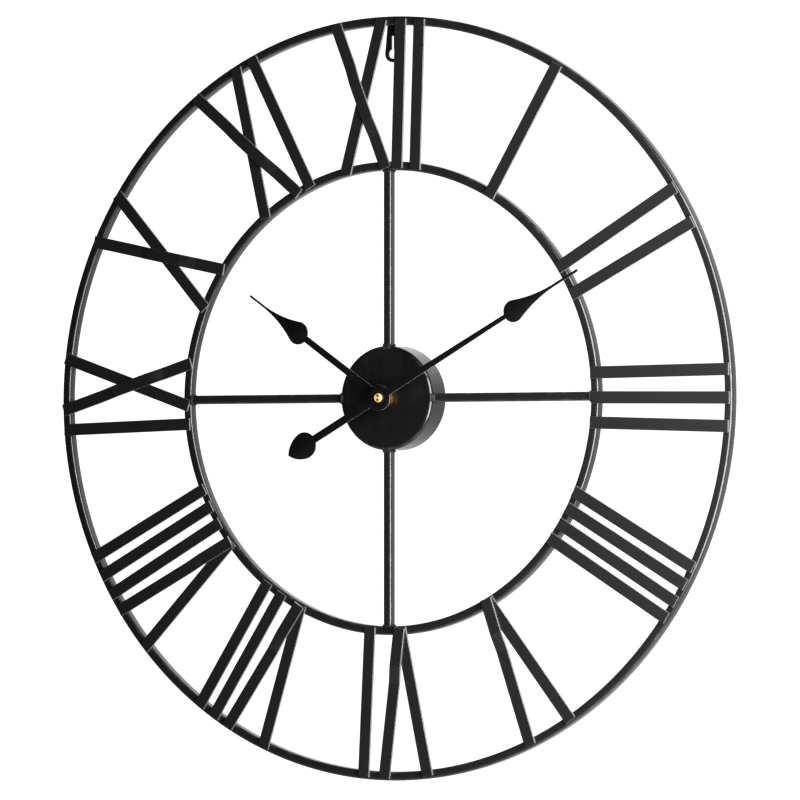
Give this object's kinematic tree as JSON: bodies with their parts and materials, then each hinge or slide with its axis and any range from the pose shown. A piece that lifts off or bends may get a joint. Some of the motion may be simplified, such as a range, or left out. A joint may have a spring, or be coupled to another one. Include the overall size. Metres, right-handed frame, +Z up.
{
  "type": "wall clock",
  "caption": "Round skeleton wall clock: two black tube rings, four spokes and a hub drum, flat-bar Roman numerals, pear hands on a battery movement.",
  "frame": {"origin": "where the dial's axis meets the wall", "axes": "+Z is up towards twelve, -Y is the way the dial faces, +X is to the viewer's right; the wall is the plane y = 0"},
  "size_m": [0.6, 0.0366, 0.6],
  "materials": {
    "black_steel": "satin powder coat",
    "black_aluminium": "satin black enamel",
    "brass": "polished",
    "rubber": "matte",
    "case_plastic": "fine moulded",
    "gear_plastic": "moulded acetal",
    "cell": "sleeved cell",
    "spring_steel": "plated",
    "stator_steel": "stamped",
    "magnet": "sintered",
    "copper_wire": "enamelled wire",
    "board": "solder resist"
  },
  "bodies": {
    "frame": {"outer_ring": "black_steel", "inner_ring": "black_steel", "spoke_12": "black_steel", "spoke_3": "black_steel", "spoke_6": "black_steel", "spoke_9": "black_steel", "hub_drum": "black_steel", "hanger": "black_steel", "numeral_1": "black_steel", "numeral_2": "black_steel", "numeral_3": "black_steel", "numeral_4": "black_steel", "numeral_5_rear": "black_steel", "numeral_5_front": "black_steel", "numeral_6_bar": "black_steel", "numeral_6_rear": "black_steel", "numeral_6_front": "black_steel", "numeral_7_bars": "black_steel", "numeral_7_rear": "black_steel", "numeral_7_front": "black_steel", "numeral_8_bars": "black_steel", "numeral_8_rear": "black_steel", "numeral_8_front": "black_steel", "numeral_9_bar": "black_steel", "numeral_9_rear": "black_steel", "numeral_9_front": "black_steel", "numeral_10_rear": "black_steel", "numeral_10_front": "black_steel", "numeral_11_bar": "black_steel", "numeral_11_rear": "black_steel", "numeral_11_front": "black_steel", "numeral_12_bars": "black_steel", "numeral_12_rear": "black_steel", "numeral_12_front": "black_steel", "fixing_nut": "brass", "fixing_washer": "brass", "gasket": "rubber", "case_front": "case_plastic", "case_rear": "case_plastic", "contact_positive": "spring_steel", "contact_negative": "spring_steel", "coil": "copper_wire", "stator": "stator_steel", "circuit_board": "board"},
    "minute": {"minute_hand": "black_aluminium", "minute_collet": "brass", "hand_nut": "brass", "cannon_pinion": "gear_plastic"},
    "hour": {"hour_hand": "black_aluminium", "hour_collet": "brass", "hour_wheel": "gear_plastic"},
    "minute_wheel": {"minute_wheel": "gear_plastic"},
    "setting": {"setting_knob": "gear_plastic"},
    "centre": {"centre_wheel": "gear_plastic"},
    "third": {"third_wheel": "gear_plastic"},
    "middle": {"middle_wheel": "gear_plastic"},
    "rotor": {"rotor": "magnet"},
    "battery": {"battery": "cell"}
  },
  "joints": [
    {"name": "minute_spin", "type": "hinge", "parent": "frame", "child": "minute", "pos_m": [0, 0, 0], "axis": [0, 1, 0], "continuous": true},
    {"name": "hour_spin", "type": "hinge", "parent": "frame", "child": "hour", "pos_m": [0, 0, 0], "axis": [0, 1, 0], "continuous": true},
    {"name": "minute_wheel_spin", "type": "hinge", "parent": "frame", "child": "minute_wheel", "pos_m": [0.0096, 0, 0], "axis": [0, 1, 0], "continuous": true},
    {"name": "setting_spin", "type": "hinge", "parent": "frame", "child": "setting", "pos_m": [0.01895, 0, 0.0054], "axis": [0, 1, 0], "continuous": true},
    {"name": "middle_wheel_spin", "type": "hinge", "parent": "frame", "child": "middle", "pos_m": [-0.0009, 0, 0.01507], "axis": [0, 1, 0], "continuous": true},
    {"name": "third_wheel_spin", "type": "hinge", "parent": "frame", "child": "third", "pos_m": [-0.0048, 0, 0.00831], "axis": [0, 1, 0], "continuous": true},
    {"name": "centre_wheel_spin", "type": "hinge", "parent": "frame", "child": "centre", "pos_m": [0, 0, 0], "axis": [0, 1, 0], "continuous": true},
    {"name": "rotor_spin", "type": "hinge", "parent": "frame", "child": "rotor", "pos_m": [0.0057, 0, 0.01507], "axis": [0, 1, 0], "continuous": true},
    {"name": "battery_lift", "type": "slide", "parent": "frame", "child": "battery", "axis": [0, 1, 0], "range_m": [0, 0.02]}
  ],
  "couplings": [
    {"joint": "hour_spin", "follows": "minute_spin", "ratio": 0.083333},
    {"joint": "minute_wheel_spin", "follows": "minute_spin", "ratio": -0.33333},
    {"joint": "setting_spin", "follows": "minute_spin", "ratio": 0.66667},
    {"joint": "third_wheel_spin", "follows": "middle_wheel_spin", "ratio": -0.083333},
    {"joint": "centre_wheel_spin", "follows": "middle_wheel_spin", "ratio": 0.0055556},
    {"joint": "rotor_spin", "follows": "middle_wheel_spin", "ratio": -10}
  ]
}
